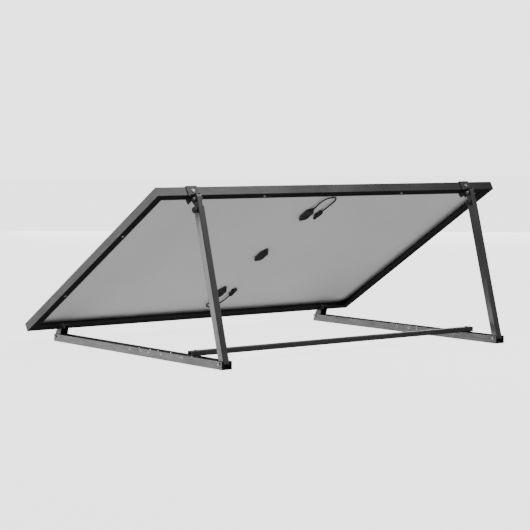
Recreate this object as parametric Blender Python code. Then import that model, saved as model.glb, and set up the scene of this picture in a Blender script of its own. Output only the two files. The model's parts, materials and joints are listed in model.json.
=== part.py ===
"""A framed half-cut solar module on two tilting ground stands, joined by a cross brace.

Metres, +Z up. X runs along the module's long side, the sun side faces -Y and +Z, and the low edge is
at -Y. The origin is on the ground, under the middle of the object.
The module hangs on one axis through the front ends of the base rails. Each rear leg is a square tube
with a second tube sliding in it, pinned between the rear end of a rail and the module's top edge. The
leg's foot is as far from the front axis as its head, so the triangle has two equal sides, and the leg
turns by half of the module's tilt.
"""

from math import cos, pi, radians, sin

import bmesh
import bpy
from mathutils import Matrix, Vector
from mathutils.geometry import tessellate_polygon

GAP = 0.0003  # between pieces that touch

# Module
MODULE_LENGTH, MODULE_WIDTH, FRAME_DEPTH = 1.722, 1.134, 0.035
FLANGE_WIDTH, FLANGE_THICK = 0.035, 0.0018
FRAME_WALL, CHAMBER_WIDTH, LIP_WIDTH = 0.0015, 0.0115, 0.010
SLOT_FLOOR, SLOT_ROOF = 0.0284, 0.0335
LAMINATE_INSET = 0.004
GLASS_THICK, CELL_THICK, BACKSHEET_THICK = 0.0030, 0.0005, 0.0004
KEY_ARM = 0.040
MOUNT_SLOT, MOUNT_SLOT_LENGTH, MOUNT_SLOT_INSET = 0.009, 0.014, 0.022
LONG_SLOTS_AT, SHORT_SLOTS_AT = 0.353, 0.250

# Stand
TILT = radians(30.9)
PIVOT_HEIGHT, PIVOT_REACH = 0.022, 1.167
PIVOT_TO_BACK, PIVOT_TO_LOW_EDGE = 0.0225, 0.019
STAND_X = 0.700
RAIL_WIDTH, RAIL_HEIGHT, RAIL_WALL = 0.046, 0.031, 0.0025
RAIL_FRONT_END, RAIL_REAR_END = 0.014, 0.018
FOOT_HOLES = (0.570, 0.648, 0.702, 0.789, 0.930)
LEG_WIDTH, LEG_DEPTH, LEG_WALL, LEG_CORNER = 0.027, 0.034, 0.0025, 0.0035
SLIDE_CLEARANCE, INNER_WALL = 0.0005, 0.002
LEG_TOP, INNER_BOTTOM, INNER_TOP = 0.590, 0.080, 0.6415
KNOB_AT, KNOB_RADIUS, KNOB_THICK = 0.578, 0.0118, 0.0130
HEAD_SLOT_LENGTH = 0.015
BRACE_HALF, BRACE_DEPTH, BRACE_HEIGHT, BRACE_WALL = 0.727, 0.028, 0.020, 0.0016
BRACE_SHIFT, BRACE_REAR_FACE, BRACE_PLUG = -0.008, 0.990, 0.014
SLEEVE_RADIUS = 0.0055
PLATE = 0.003
CHEEK_CLEARANCE = 0.0008

# Fasteners: thread radius, half of the distance across the head's corners, head and nut heights
BOLT, HEX = 0.0030, 0.0058
HEAD_HEIGHT, NUT_HEIGHT, THREAD_END = 0.0040, 0.0050, 0.0030
HOLE_PLAY = 0.0005
SPARE_HOLE = 0.0038

# The largest share of a slot's half width that its corners are rounded by
FULL_ROUND = 0.98

# Junction boxes and leads
BOX_LENGTH, BOX_WIDTH, BOX_DEPTH, BOX_WALL = 0.073, 0.036, 0.0125, 0.0018
BOX_CORNER_ACROSS, BOX_CORNER_ALONG = 0.0090, 0.011
NECK_LENGTH, NECK_HALF, NECK_DEPTH = 0.011, 0.0070, 0.0100
LID_THICK = 0.0025
BOX_PLACES = {"upper": 0.9115, "middle": 0.5590, "lower": 0.2134}
LEAD_SIDES = {"upper": 1, "lower": -1}
LEAD_DIAMETER = 0.006
GLAND_LENGTH, GLAND_RADIUS = 0.012, 0.0065
LEAD_DEPTH_BELOW_SHEET = 0.0090
CONNECTOR_LENGTH, CONNECTOR_RADIUS = 0.058, 0.0088

FRONT_Y = -PIVOT_REACH / 2 - (RAIL_REAR_END - RAIL_FRONT_END) / 2
FOOT_Y = FRONT_Y + PIVOT_REACH
LEG_LENGTH = 2 * PIVOT_REACH * sin(TILT / 2)
LOW_EDGE = PIVOT_TO_LOW_EDGE
HIGH_EDGE = LOW_EDGE + MODULE_WIDTH
BACK = PIVOT_TO_BACK
MIDDLE_EDGE = (LOW_EDGE + HIGH_EDGE) / 2
BRACE_Y = FRONT_Y + BRACE_REAR_FACE - BRACE_DEPTH / 2
FLANGE_BOLT_Y = LOW_EDGE + 0.025
WALL_BOLT_Z = BACK + 0.0165


# ---------------------------------------------------------------- helpers

def material(name, colour, roughness, metallic=0.0, alpha=1.0):
    made = bpy.data.materials.new(name)
    made.use_nodes = True
    shader = made.node_tree.nodes["Principled BSDF"]
    shader.inputs["Base Color"].default_value = (*colour, 1)
    shader.inputs["Roughness"].default_value = roughness
    shader.inputs["Metallic"].default_value = metallic
    shader.inputs["Alpha"].default_value = alpha
    return made


def empty(name, location, tilt=0.0, parent=None):
    made = bpy.data.objects.new(name, None)
    made.location = location
    made.rotation_euler = (tilt, 0, 0)
    made.parent = parent
    made.empty_display_size = 0.05
    bpy.context.scene.collection.objects.link(made)
    return made


def solid(name, points, faces, finish=None, parent=None, x=0.0, cutter=False):
    mesh = bpy.data.meshes.new(name)
    mesh.from_pydata([tuple(p) for p in points], [], faces)
    shape = bmesh.new()
    shape.from_mesh(mesh)
    bmesh.ops.recalc_face_normals(shape, faces=shape.faces)
    shape.to_mesh(mesh)
    shape.free()
    made = bpy.data.objects.new(name, mesh)
    made.location.x = x
    made.parent = parent
    bpy.context.scene.collection.objects.link(made)
    if finish:
        mesh.materials.append(finish)
        mesh.shade_smooth()
        mesh.set_sharp_from_angle(angle=radians(35))
    if cutter:
        made.hide_render = True
        made.display_type = "WIRE"
    return made


def stacked(loops):
    """Points and faces of a closed body through loops that all have the same number of points."""
    count = len(loops[0])
    points = [p for loop in loops for p in loop]
    faces = [tuple(range(count)), tuple(range(len(points) - count, len(points)))]
    for i in range(len(loops) - 1):
        for j in range(count):
            k = (j + 1) % count
            faces.append((i * count + j, i * count + k, (i + 1) * count + k, (i + 1) * count + j))
    return points, faces


def fillet(corners, radius, segments=3):
    """The outline with each corner rounded. A corner may carry its own radius as a third number."""
    points = []
    count = len(corners)
    for i, corner in enumerate(corners):
        here = Vector(corner[:2])
        r = corner[2] if len(corner) > 2 else radius
        if not r:
            points.append(here)
            continue
        before = (Vector(corners[i - 1][:2]) - here).normalized()
        after = (Vector(corners[(i + 1) % count][:2]) - here).normalized()
        half = before.angle(after) / 2
        reach = r / (sin(half) / cos(half))
        centre = here + (before + after).normalized() * (r / sin(half))
        start = here + before * reach - centre
        end = here + after * reach - centre
        swing = start.angle(end)
        for step in range(segments + 1):
            turn = swing * step / segments
            points.append(centre + (start * sin(swing - turn) + end * sin(turn)) / sin(swing))
    return points


def rectangle(low_a, high_a, low_b, high_b, radius=0.0, segments=3):
    return fillet([(low_a, low_b), (high_a, low_b), (high_a, high_b), (low_a, high_b)], radius, segments)


def on_axis(axis, along, point):
    """A 3-D point from its place along an axis and its two other coordinates."""
    a, b = point
    return {"X": (along, a, b), "Y": (a, along, b), "Z": (a, b, along)}[axis]


def prism(name, axis, outline, low, high, finish=None, parent=None, x=0.0, cutter=False):
    """An outline in the two other coordinates, drawn out along an axis from low to high."""
    loops = [[on_axis(axis, along, p) for p in outline] for along in (low, high)]
    return solid(name, *stacked(loops), finish, parent, x, cutter)


def tube_prism(name, axis, outer, inner, low, high, finish, parent, x=0.0):
    """A hollow bar, open at both ends, whose outlines may have any number of points."""
    ends = []
    for along in (low, high):
        ends.append([on_axis(axis, along, p) for p in outer] + [on_axis(axis, along, p) for p in inner])
    return solid(name, *hollow_bar(ends, len(outer), outer, inner), finish, parent, x)


def hollow_bar(ends, split, outer, inner):
    """Sides and end faces of a bar with one hole, from its two ends' points."""
    count = len(ends[0])
    faces = []
    for first, last in ((0, split), (split, count)):
        for j in range(first, last):
            k = first + (j + 1 - first) % (last - first)
            faces.append((j, k, count + k, count + j))
    flat = [[Vector((*p, 0)) for p in loop] for loop in (outer, inner)]
    for triangle in tessellate_polygon(flat):
        faces.append(tuple(triangle))
        faces.append(tuple(count + i for i in triangle))
    return ends[0] + ends[1], faces


def ring_points(axis, along, radius, centre=(0, 0), sides=12, hexagon=False):
    """A circle, or a hexagon whose corners are at that radius, with the same number of points."""
    points = []
    for step in range(sides):
        angle = 2 * pi * step / sides
        r = radius
        if hexagon:
            r = radius * cos(pi / 6) / cos(angle % (pi / 3) - pi / 6)
        points.append(on_axis(axis, along, (centre[0] + r * cos(angle), centre[1] + r * sin(angle))))
    return points


def turned(name, axis, stations, centre, finish, parent, x=0.0, sides=12, cutter=False):
    """A stepped shaft. A station is its place, its radius and, for a hexagon, the word hex."""
    loops = []
    for along, radius, *shape in stations:
        loops.append(ring_points(axis, along, radius, centre, sides, bool(shape)))
    return solid(name, *stacked(loops), finish, parent, x, cutter)


def drill(target, axis, centre, radius, low, high, x=0.0, sides=16):
    """A round hole through the target, along an axis from low to high."""
    name = f"{target.name}_drill_{len(target.modifiers)}"
    stations = [(low, radius), (high, radius)]
    cut(target, turned(name, axis, stations, centre, None, target.parent, x, sides, cutter=True))


def cut(target, tool, operation="DIFFERENCE"):
    modifier = target.modifiers.new(tool.name, "BOOLEAN")
    modifier.operation = operation
    modifier.object = tool


def capsule(bottom, top, half, segments=12, round_top=False):
    """An upright outline with a half-round lower end centred on zero, or on its own height at the top."""
    points = []
    for step in range(segments + 1):
        angle = pi + pi * step / segments
        points.append((half * cos(angle), bottom + half * sin(angle)))
    if not round_top:
        return points + [(half, top), (-half, top)]
    for step in range(segments + 1):
        angle = pi * step / segments
        points.append((half * cos(angle), top - half + half * sin(angle)))
    return points


for old in list(bpy.data.objects):
    bpy.data.objects.remove(old)

ANODISED = material("black_anodised", (0.016, 0.016, 0.017), 0.38, 0.6)
STAND = material("stand_anodised", (0.052, 0.052, 0.054), 0.42, 0.7)
STEEL = material("stainless_steel", (0.62, 0.62, 0.63), 0.28, 1.0)
GLASS = material("solar_glass", (0.75, 0.80, 0.82), 0.08, 0.0, 0.35)
CELLS = material("silicon_cells", (0.010, 0.012, 0.022), 0.25)
SHEET = material("backsheet_white", (0.60, 0.60, 0.61), 0.45)
PLASTIC = material("black_plastic", (0.020, 0.020, 0.021), 0.45)
RUBBER = material("cable_jacket", (0.014, 0.014, 0.015), 0.55)
SEALANT = material("silicone_sealant", (0.04, 0.04, 0.04), 0.60)
COPPER = material("tinned_copper", (0.55, 0.50, 0.44), 0.35, 1.0)

module_axis = empty("module_axis", (0, FRONT_Y, PIVOT_HEIGHT), TILT)


# ---------------------------------------------------------------- module frame

def frame_profile():
    """Outer and chamber outlines, as distance in from the outer face and height above the back."""
    outer = [
        (0, 0), (FLANGE_WIDTH, 0), (FLANGE_WIDTH, FLANGE_THICK), (CHAMBER_WIDTH, FLANGE_THICK),
        (CHAMBER_WIDTH, SLOT_FLOOR), (FRAME_WALL, SLOT_FLOOR), (FRAME_WALL, SLOT_ROOF),
        (LIP_WIDTH, SLOT_ROOF), (LIP_WIDTH, FRAME_DEPTH), (0, FRAME_DEPTH),
    ]
    inner = rectangle(FRAME_WALL, CHAMBER_WIDTH - FRAME_WALL, FRAME_WALL, SLOT_FLOOR - FRAME_WALL)
    return [Vector(p) for p in outer], inner


def frame_member(name, half_length, half_across, turn):
    """One side of the frame, its ends cut at 45 degrees, turned about the module's middle."""
    outer, inner = frame_profile()
    ends = []
    for side in (-1, 1):
        end = []
        for inward, height in outer + inner:
            along = side * (half_length - inward - GAP / 2)
            end.append(Vector((along, inward - half_across, BACK + height)))
        ends.append(end)
    points, faces = hollow_bar(ends, len(outer), outer, inner)
    place = Matrix.Translation((0, MIDDLE_EDGE, 0)) @ Matrix.Rotation(turn, 4, "Z")
    return solid(name, [place @ p for p in points], faces, ANODISED, module_axis)


def flange_slot(member, x, y, along_x):
    """A round-ended mounting slot through a back flange."""
    half = (MOUNT_SLOT_LENGTH if along_x else MOUNT_SLOT) / 2
    other = (MOUNT_SLOT if along_x else MOUNT_SLOT_LENGTH) / 2
    outline = rectangle(x - half, x + half, y - other, y + other, MOUNT_SLOT / 2 * FULL_ROUND, 5)
    tool = prism(f"{member.name}_slot_{len(member.modifiers)}", "Z", outline, BACK - 0.004,
                 BACK + FLANGE_THICK + 0.004, parent=module_axis, cutter=True)
    cut(member, tool)


def build_frame():
    half_long, half_wide = MODULE_LENGTH / 2, MODULE_WIDTH / 2
    low = frame_member("frame_low_side", half_long, half_wide, 0)
    high = frame_member("frame_high_side", half_long, half_wide, pi)
    right = frame_member("frame_end_right", half_wide, half_long, -pi / 2)
    left = frame_member("frame_end_left", half_wide, half_long, pi / 2)
    for x in (-LONG_SLOTS_AT, LONG_SLOTS_AT):
        flange_slot(low, x, LOW_EDGE + MOUNT_SLOT_INSET, True)
        flange_slot(high, x, HIGH_EDGE - MOUNT_SLOT_INSET, True)
    for y in (MIDDLE_EDGE - SHORT_SLOTS_AT, MIDDLE_EDGE + SHORT_SLOTS_AT):
        flange_slot(left, half_long - MOUNT_SLOT_INSET, y, False)
        flange_slot(right, -half_long + MOUNT_SLOT_INSET, y, False)
    for x in (-STAND_X, STAND_X):
        drill(low, "Z", (x, FLANGE_BOLT_Y), BOLT + HOLE_PLAY, BACK - 0.004, BACK + 0.006)
        drill(high, "Y", (x, WALL_BOLT_Z), BOLT + HOLE_PLAY, HIGH_EDGE - 0.006, HIGH_EDGE + 0.004)


def build_corner_keys():
    """L-shaped keys pressed into the chambers, which hold the four corners together."""
    near = FRAME_WALL + GAP
    far = CHAMBER_WIDTH - FRAME_WALL - GAP
    low, high = BACK + FRAME_WALL + GAP, BACK + SLOT_FLOOR - FRAME_WALL - GAP
    for across, side_x in (("left", 1), ("right", -1)):
        for level, side_y in (("low", -1), ("high", 1)):
            corner_x = side_x * MODULE_LENGTH / 2
            corner_y = MIDDLE_EDGE + side_y * MODULE_WIDTH / 2
            outline = []
            for a, b in ((near, near), (KEY_ARM, near), (KEY_ARM, far), (far, far), (far, KEY_ARM),
                         (near, KEY_ARM)):
                outline.append((corner_x - side_x * a, corner_y - side_y * b))
            prism(f"corner_key_{level}_{across}", "Z", outline, low, high, STEEL, module_axis)


# ---------------------------------------------------------------- laminate

def build_laminate():
    half_x = MODULE_LENGTH / 2 - LAMINATE_INSET
    low, high = LOW_EDGE + LAMINATE_INSET, HIGH_EDGE - LAMINATE_INSET
    outline = rectangle(-half_x, half_x, low, high)
    height = BACK + SLOT_FLOOR + GAP
    for name, thick, finish in (("backsheet", BACKSHEET_THICK, SHEET), ("cell_layer", CELL_THICK, CELLS),
                                ("front_glass", GLASS_THICK, GLASS)):
        prism(name, "Z", outline, height, height + thick, finish, module_axis)
        height += thick + GAP
    seal_out = FRAME_WALL + GAP
    seal_in = LAMINATE_INSET - GAP
    outer = rectangle(-MODULE_LENGTH / 2 + seal_out, MODULE_LENGTH / 2 - seal_out,
                      LOW_EDGE + seal_out, HIGH_EDGE - seal_out)
    inner = rectangle(-MODULE_LENGTH / 2 + seal_in, MODULE_LENGTH / 2 - seal_in,
                      LOW_EDGE + seal_in, HIGH_EDGE - seal_in)
    tube_prism("edge_seal", "Z", outer, inner, BACK + SLOT_FLOOR + GAP, BACK + SLOT_ROOF - GAP,
               SEALANT, module_axis)


# ---------------------------------------------------------------- junction boxes and leads

SHEET_BACK = BACK + SLOT_FLOOR + GAP
BOX_TOP = SHEET_BACK - GAP
BOX_BOTTOM = BOX_TOP - BOX_DEPTH
LEAD_Z = SHEET_BACK - LEAD_DEPTH_BELOW_SHEET


def box_outline(y, inset, necks):
    """The box from behind: cut corners, and a narrow neck at each end that has one."""
    half_x, half_y = BOX_WIDTH / 2 - inset, BOX_LENGTH / 2 - inset
    cut_x, cut_y = half_x - BOX_CORNER_ACROSS, half_y - BOX_CORNER_ALONG
    neck, tip = NECK_HALF - inset, half_y + NECK_LENGTH
    points = [(half_x, y - cut_y, 0.003), (half_x, y + cut_y, 0.003), (cut_x, y + half_y, 0.002)]
    if 1 in necks:
        points += [(neck, y + half_y), (neck, y + tip, 0.002), (-neck, y + tip, 0.002), (-neck, y + half_y)]
    points += [(-cut_x, y + half_y, 0.002), (-half_x, y + cut_y, 0.003), (-half_x, y - cut_y, 0.003),
               (-cut_x, y - half_y, 0.002)]
    if -1 in necks:
        points += [(-neck, y - half_y), (-neck, y - tip, 0.002), (neck, y - tip, 0.002), (neck, y - half_y)]
    points.append((cut_x, y - half_y, 0.002))
    return fillet(points, 0.0)


def build_junction_box(name, place, lead_side):
    """A tray against the backsheet, its lid, and the bypass diode inside. Necks close the unused ends."""
    y = LOW_EDGE + place
    necks = [side for side in (-1, 1) if side != lead_side]
    tray = prism(f"junction_box_{name}", "Z", box_outline(y, 0, necks), BOX_BOTTOM, BOX_TOP, PLASTIC,
                 module_axis)
    cut(tray, prism(f"junction_box_{name}_hollow", "Z", box_outline(y, BOX_WALL, ()), BOX_BOTTOM - 0.004,
                    BOX_TOP - BOX_WALL, parent=module_axis, cutter=True))
    for side in necks:
        low, high = sorted((y + side * (BOX_LENGTH / 2 + 0.0005), y + side * (BOX_LENGTH / 2 + 0.020)))
        outline = rectangle(-0.020, 0.020, low, high)
        cut(tray, prism(f"junction_box_{name}_step_{side}", "Z", outline, BOX_BOTTOM - 0.004,
                        BOX_TOP - NECK_DEPTH, parent=module_axis, cutter=True))
    lid_top = BOX_BOTTOM - GAP
    rim, crown = box_outline(y, 0, ()), box_outline(y, 0.0018, ())
    loops = [[(*p, lid_top) for p in rim], [(*p, lid_top - LID_THICK / 2) for p in rim],
             [(*p, lid_top - LID_THICK) for p in crown]]
    solid(f"junction_lid_{name}", *stacked(loops), PLASTIC, module_axis)
    diode = rectangle(-0.006, 0.006, y - 0.009, y + 0.009, 0.001, 1)
    prism(f"bypass_diode_{name}", "Z", diode, BOX_TOP - BOX_WALL - GAP - 0.005, BOX_TOP - BOX_WALL - GAP,
          COPPER, module_axis)


# Each lead's route beyond its gland, as distance across and distance away from the box
LEAD_ROUTES = {
    "upper": (
        (0.000, 0.000), (0.000, 0.018), (0.001, 0.040), (-0.001, 0.061), (-0.008, 0.079), (-0.021, 0.090),
        (-0.038, 0.093), (-0.054, 0.087), (-0.064, 0.071), (-0.066, 0.050), (-0.065, 0.027), (-0.062, 0.002),
        (-0.0605, -0.023),
    ),
    "lower": (
        (0.000, 0.000), (0.001, 0.018), (0.004, 0.038), (0.005, 0.058), (0.000, 0.075), (-0.012, 0.086),
        (-0.028, 0.088), (-0.043, 0.081), (-0.055, 0.066), (-0.062, 0.047), (-0.066, 0.025), (-0.067, 0.004),
        (-0.067, -0.018),
    ),
}
CONNECTOR_TURNS = {"upper": radians(2), "lower": 0.0}
LEAD_X = -0.002


def smooth_route(points, spacing):
    """Evenly spaced points on a Catmull-Rom curve through the given ones."""
    fine = []
    padded = [2 * points[0] - points[1], *points, 2 * points[-1] - points[-2]]
    for a, b, c, d in zip(padded, padded[1:], padded[2:], padded[3:]):
        for step in range(20):
            t = step / 20
            fine.append(0.5 * (2 * b + (c - a) * t + (2 * a - 5 * b + 4 * c - d) * t * t
                               + (3 * b - a - 3 * c + d) * t ** 3))
    fine.append(points[-1])
    length = sum((q - p).length for p, q in zip(fine, fine[1:]))
    count = max(2, round(length / spacing))
    picked, walked, wanted = [fine[0]], 0.0, length / count
    for p, q in zip(fine, fine[1:]):
        walked += (q - p).length
        if walked >= wanted * len(picked) - 1e-9 and len(picked) < count:
            picked.append(q)
    return picked + [fine[-1]]


def build_lead(name, place, away):
    """The gland, the lead, its connector and the clip that holds the connector to the backsheet."""
    wall = LOW_EDGE + place + away * (BOX_LENGTH / 2 + GAP)
    mouth = wall + away * GLAND_LENGTH
    start = mouth + away * GAP
    stations = [(wall, GLAND_RADIUS), (wall + away * 0.006, GLAND_RADIUS),
                (mouth, LEAD_DIAMETER / 2 + 0.0015)]
    turned(f"lead_gland_{name}", "Y", stations, (LEAD_X, LEAD_Z), PLASTIC, module_axis)
    route = [Vector((LEAD_X + across, start + away * out, LEAD_Z)) for across, out in LEAD_ROUTES[name]]
    curve = bpy.data.curves.new(f"lead_{name}", "CURVE")
    curve.dimensions = "3D"
    curve.bevel_depth = LEAD_DIAMETER / 2
    curve.bevel_resolution = 2
    curve.use_fill_caps = True
    spline = curve.splines.new("POLY")
    points = smooth_route(route, 2.2 * LEAD_DIAMETER)
    spline.points.add(len(points) - 1)
    for point, place in zip(spline.points, points):
        point.co = (*place, 1)
    curve.materials.append(RUBBER)
    lead = bpy.data.objects.new(f"lead_{name}", curve)
    lead.parent = module_axis
    bpy.context.scene.collection.objects.link(lead)
    build_connector(name, route[-1], away)


def build_connector(name, end, away):
    """The plug on the lead's end, drawn along -Y from its own origin, and the clip that holds it."""
    r = CONNECTOR_RADIUS
    steps = ((0, 0.62), (0.004, 0.80), (0.012, 0.92), (0.013, 1.0), (0.026, 1.0), (0.027, 0.86),
             (0.044, 0.86), (0.045, 0.70), (CONNECTOR_LENGTH, 0.66))
    stations = [(-GAP - out, r * share) for out, share in steps]
    plug = turned(f"connector_{name}", "Y", stations, (0, 0), PLASTIC, module_axis, sides=16)
    reach, foot = r * 0.86 + GAP, SHEET_BACK - GAP - end.z
    outline = [(-reach - 0.002, foot), (-reach - 0.002, -0.001), (-reach, -0.001), (-reach, foot - 0.001),
               (reach, foot - 0.001), (reach, -0.001), (reach + 0.002, -0.001), (reach + 0.002, foot)]
    clip = prism(f"connector_clip_{name}", "Y", outline, -0.0420, -0.0310, PLASTIC, module_axis)
    for piece in (plug, clip):
        piece.location = end
        piece.rotation_euler.z = CONNECTOR_TURNS[name] + (0 if away > 0 else pi)


# ---------------------------------------------------------------- stands

def build_rail(side, x):
    half = RAIL_WIDTH / 2
    inside = half - RAIL_WALL
    outline = fillet([(-half, 0, 0.002), (half, 0, 0.002), (half, RAIL_HEIGHT), (inside, RAIL_HEIGHT),
                      (inside, RAIL_WALL, 0.001), (-inside, RAIL_WALL, 0.001), (-inside, RAIL_HEIGHT),
                      (-half, RAIL_HEIGHT)], 0.0004, 2)
    rail = prism(f"base_rail_{side}", "Y", outline, FRONT_Y - RAIL_FRONT_END, FOOT_Y + RAIL_REAR_END,
                 STAND, x=x)
    radii = {0: BOLT + HOLE_PLAY, PIVOT_REACH: BOLT + HOLE_PLAY, **dict.fromkeys(FOOT_HOLES, SPARE_HOLE)}
    for reach, radius in radii.items():
        drill(rail, "X", (FRONT_Y + reach, PIVOT_HEIGHT), radius, -half - 0.004, half + 0.004, x, sides=12)
    sink = [(-0.002, 0.0082), (0.0004, 0.0066), (0.0024, BOLT + HOLE_PLAY), (0.006, BOLT + HOLE_PLAY)]
    cut(rail, turned(f"base_rail_{side}_sink", "Z", sink, (0, BRACE_Y), None, None, x + BRACE_SHIFT, 12,
                     cutter=True))
    return rail


def build_brace():
    """A square tube across both rails, a plug in each end, and a countersunk screw up through each rail."""
    low = RAIL_HEIGHT + GAP
    high = low + BRACE_HEIGHT
    half = BRACE_DEPTH / 2
    outer = rectangle(BRACE_Y - half, BRACE_Y + half, low, high, 0.002, 2)
    inner = rectangle(BRACE_Y - half + BRACE_WALL, BRACE_Y + half - BRACE_WALL, low + BRACE_WALL,
                      high - BRACE_WALL, 0.001, 2)
    brace = tube_prism("cross_brace", "X", outer, inner, BRACE_SHIFT - BRACE_HALF, BRACE_SHIFT + BRACE_HALF,
                       STAND, None)
    inset = BRACE_WALL + GAP
    for side, sign in (("left", 1), ("right", -1)):
        x = sign * STAND_X + BRACE_SHIFT
        drill(brace, "Z", (x, BRACE_Y), BOLT + HOLE_PLAY, low - 0.004, high + 0.004, sides=12)
        end = BRACE_SHIFT + sign * BRACE_HALF
        loops = []
        for depth, shrink in ((BRACE_PLUG, 0.001), (BRACE_PLUG - 0.002, 0), (0.0020, 0), (0.0010, 0.001)):
            plug = rectangle(BRACE_Y - half + inset + shrink, BRACE_Y + half - inset - shrink,
                             low + inset + shrink, high - inset - shrink, 0.001, 2)
            loops.append([(end - sign * depth, *p) for p in plug])
        solid(f"brace_plug_{side}", *stacked(loops), PLASTIC)
        nut = high + GAP
        stations = [(GAP, HEX), (0.0021, BOLT), (nut, BOLT), (nut, HEX * 1.1), (nut + 0.0018, HEX * 1.05),
                    (nut + 0.0032, HEX * 0.55)]
        turned(f"brace_bolt_{side}", "Z", stations, (0, BRACE_Y), STEEL, None, x)


def cross_bolt(name, inner, outer, centre, parent, x):
    """A bolt along X, its head at +X beyond outer and its nut at -X beyond inner."""
    stations = [(inner - NUT_HEIGHT - THREAD_END, BOLT), (inner - NUT_HEIGHT, BOLT),
                (inner - NUT_HEIGHT, HEX, "hex"), (inner, HEX, "hex"), (inner, BOLT), (outer, BOLT),
                (outer, HEX, "hex"), (outer + HEAD_HEIGHT, HEX, "hex")]
    turned(name, "X", stations, centre, STEEL, parent, x)


def build_front_joint(side, x):
    """The bracket that carries the low edge on the front end of a rail, with its two bolts."""
    half, top, far, front = 0.018, BACK - GAP, 0.062, -0.0115
    cheek = fillet([(front, -0.007, 0.006), (-0.003, -0.0145, 0.004), (0.026, -0.0130, 0.006),
                    (0.048, 0.0080, 0.004), (far, 0.0150, 0.001), (far, top), (0.010, top),
                    (front, 0.0075, 0.004)], 0.0, 4)
    bracket = prism(f"front_bracket_{side}", "X", cheek, -half, half, STAND, module_axis, x)
    channel = [(front + PLATE, -0.030), (far + 0.020, -0.030), (far + 0.020, top - PLATE),
               (0.0110, top - PLATE), (front + PLATE, 0.0058)]
    cut(bracket, prism(f"front_bracket_{side}_channel", "X", channel, -half + PLATE, half - PLATE,
                       parent=module_axis, x=x, cutter=True))
    drill(bracket, "X", (0, 0), BOLT + HOLE_PLAY, -half - 0.004, half + 0.004, x)
    drill(bracket, "Z", (0, FLANGE_BOLT_Y), BOLT + HOLE_PLAY, top - PLATE - 0.004, top + 0.004, x)
    reach = RAIL_WIDTH / 2 + GAP
    cross_bolt(f"front_pivot_bolt_{side}", -reach, reach, (0, 0), module_axis, x)
    under, over = top - PLATE - GAP, BACK + FLANGE_THICK + GAP
    nut = over + NUT_HEIGHT
    stations = [(under - HEAD_HEIGHT, HEX, "hex"), (under, HEX, "hex"), (under, BOLT), (over, BOLT),
                (over, HEX, "hex"), (nut, HEX, "hex"), (nut, BOLT), (nut + 2 * THREAD_END, BOLT)]
    turned(f"flange_bolt_{side}", "Z", stations, (0, FLANGE_BOLT_Y), STEEL, module_axis, x)


def build_top_joint(side, x):
    """The bracket that hooks over the high edge, its bolt into the frame and the leg's pivot bolt."""
    half, top, wall = 0.025, BACK - GAP, HIGH_EDGE + GAP
    lip_low = BACK + FRAME_DEPTH + GAP
    near = HIGH_EDGE - 0.038
    outline = [(near, 0.0160), (HIGH_EDGE - 0.034, 0.0010, 0.001), (HIGH_EDGE - 0.004, 0.0020, 0.002),
               (PIVOT_REACH - 0.008, -0.0105, 0.004), (PIVOT_REACH + 0.0105, -0.0105, 0.008),
               (PIVOT_REACH + 0.0105, 0.0105, 0.008), (wall + PLATE, top + 0.002, 0.001),
               (wall + PLATE, lip_low + PLATE), (HIGH_EDGE - 0.009, lip_low + PLATE),
               (HIGH_EDGE - 0.009, lip_low), (wall, lip_low), (wall, top), (near, top)]
    bracket = prism(f"top_bracket_{side}", "X", fillet(outline, 0.0, 4), -half, half, STAND, module_axis, x)
    cheek_in = LEG_WIDTH / 2 - LEG_WALL - SLIDE_CLEARANCE + CHEEK_CLEARANCE
    cheek_out = cheek_in + PLATE
    beyond = PIVOT_REACH + 0.040
    room = [(near - 0.020, -0.040), (beyond, -0.040), (beyond, BACK + 0.060), (wall + PLATE, BACK + 0.060),
            (wall + PLATE, top - PLATE)]
    between = room + [(near - 0.020, top - PLATE)]
    beside = room + [(HIGH_EDGE - 0.014, top - PLATE), (HIGH_EDGE - 0.014, top + 0.002),
                     (near - 0.020, top + 0.002)]
    for part, low, high, space in (("middle", -cheek_in, cheek_in, between),
                                   ("left", cheek_out, half + 0.004, beside),
                                   ("right", -half - 0.004, -cheek_out, beside)):
        cut(bracket, prism(f"top_bracket_{side}_{part}", "X", space, low, high, parent=module_axis, x=x,
                           cutter=True))
    drill(bracket, "X", (PIVOT_REACH, 0), BOLT + HOLE_PLAY, -half - 0.004, half + 0.004, x)
    drill(bracket, "Y", (0, WALL_BOLT_Z), BOLT + HOLE_PLAY, wall - 0.002, wall + PLATE + 0.004, x)
    cross_bolt(f"top_pivot_bolt_{side}", -cheek_out - GAP, cheek_out + GAP, (PIVOT_REACH, 0), module_axis, x)
    out = wall + PLATE + GAP
    stations = [(HIGH_EDGE - 0.008, BOLT), (out, BOLT), (out, HEX, "hex"), (out + HEAD_HEIGHT, HEX, "hex")]
    turned(f"frame_bolt_{side}", "Y", stations, (0, WALL_BOLT_Z), STEEL, module_axis, x)


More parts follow.
